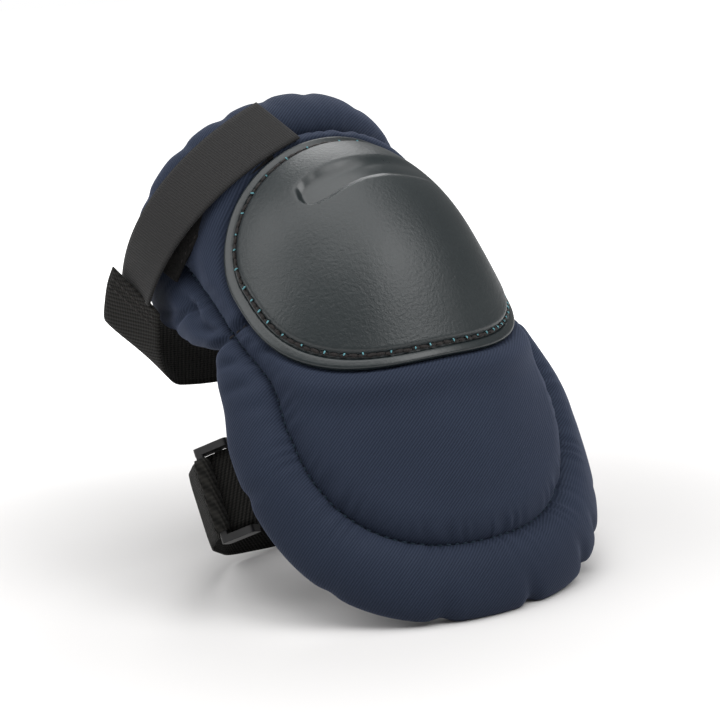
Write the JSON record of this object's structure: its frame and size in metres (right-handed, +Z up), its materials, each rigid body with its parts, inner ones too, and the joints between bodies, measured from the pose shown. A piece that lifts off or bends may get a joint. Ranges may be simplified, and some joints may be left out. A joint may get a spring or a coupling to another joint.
{
  "type": "knee pad",
  "caption": "Hard-cap knee pad: padded fabric body wrapped round the leg, domed plastic cap sewn over the knee, elastic straps with a hook tab and a strap slider.",
  "frame": {"origin": "middle of the base of the pad's bounding box, on the ground that it stands on", "axes": "+Z up, -Y the way the knee cap faces, +X to the wearer's side that has the sewn strap end; the pad leans back towards +Y"},
  "size_m": [0.199, 0.2248, 0.2297],
  "materials": {
    "cover_fabric": "matte",
    "lining": "matte",
    "foam": "matte",
    "cap_plastic": "satin",
    "cap_thread": "satin",
    "quilt_thread": "satin",
    "black_thread": "satin",
    "elastic": "matte",
    "hook_tape": "matte",
    "loop_pile": "matte",
    "slider_plastic": "satin"
  },
  "bodies": {
    "lower_pad": {"lower_back_lining": "lining", "lower_foam_core": "foam", "lower_front_cover": "cover_fabric", "lower_rim_roll": "cover_fabric", "lower_quilt_stitches": "quilt_thread", "lower_strap": "elastic", "lower_strap_tacks": "black_thread"},
    "upper_pad": {"waist_back_lining": "lining", "waist_foam_core": "foam", "waist_front_cover": "cover_fabric", "waist_rim_left": "cover_fabric", "waist_rim_right": "cover_fabric", "waist_seam_stitches": "quilt_thread", "upper_back_lining": "lining", "upper_foam_core": "foam", "upper_front_cover": "cover_fabric", "upper_rim_roll": "cover_fabric", "upper_quilt_stitches": "quilt_thread", "knee_foam_insert": "foam", "knee_cap_shell": "cap_plastic", "cap_stitches": "cap_thread", "loop_patch": "loop_pile", "loop_patch_stitches": "black_thread", "upper_strap_sewn_end": "elastic", "upper_strap_tacks": "black_thread"},
    "upper_strap": {"upper_strap": "elastic", "hem_stitches": "black_thread"},
    "hook_tab": {"hook_tab": "hook_tape"},
    "strap_slider": {"slider_frame": "slider_plastic", "slider_wrap": "elastic"}
  },
  "joints": [
    {"name": "knee_flex", "type": "hinge", "parent": "lower_pad", "child": "upper_pad", "pos_m": [0.00173, -0.06644, 0.10487], "axis": [1, 0, 0], "range_deg": [-9, 8], "stiffness_Nm_per_rad": 4},
    {"name": "upper_strap_swing", "type": "hinge", "parent": "upper_pad", "child": "upper_strap", "pos_m": [0.05873, 0.08187, 0.1268], "axis": [0, -0.7604, -0.6494], "range_deg": [0, 12], "stiffness_Nm_per_rad": 0.3},
    {"name": "hook_tab_peel", "type": "hinge", "parent": "upper_strap", "child": "hook_tab", "pos_m": [-0.08667, 0.07018, 0.14049], "axis": [0, -0.7604, -0.6494], "range_deg": [0, 140]},
    {"name": "slider_slide", "type": "slide", "parent": "lower_pad", "child": "strap_slider", "axis": [-0.572, 0.7228, -0.3878], "range_m": [-0.0025, 0.0035]}
  ],
  "couplings": [
    {"joint": "hook_tab_peel", "follows": "upper_strap_swing", "ratio": 11.666}
  ]
}
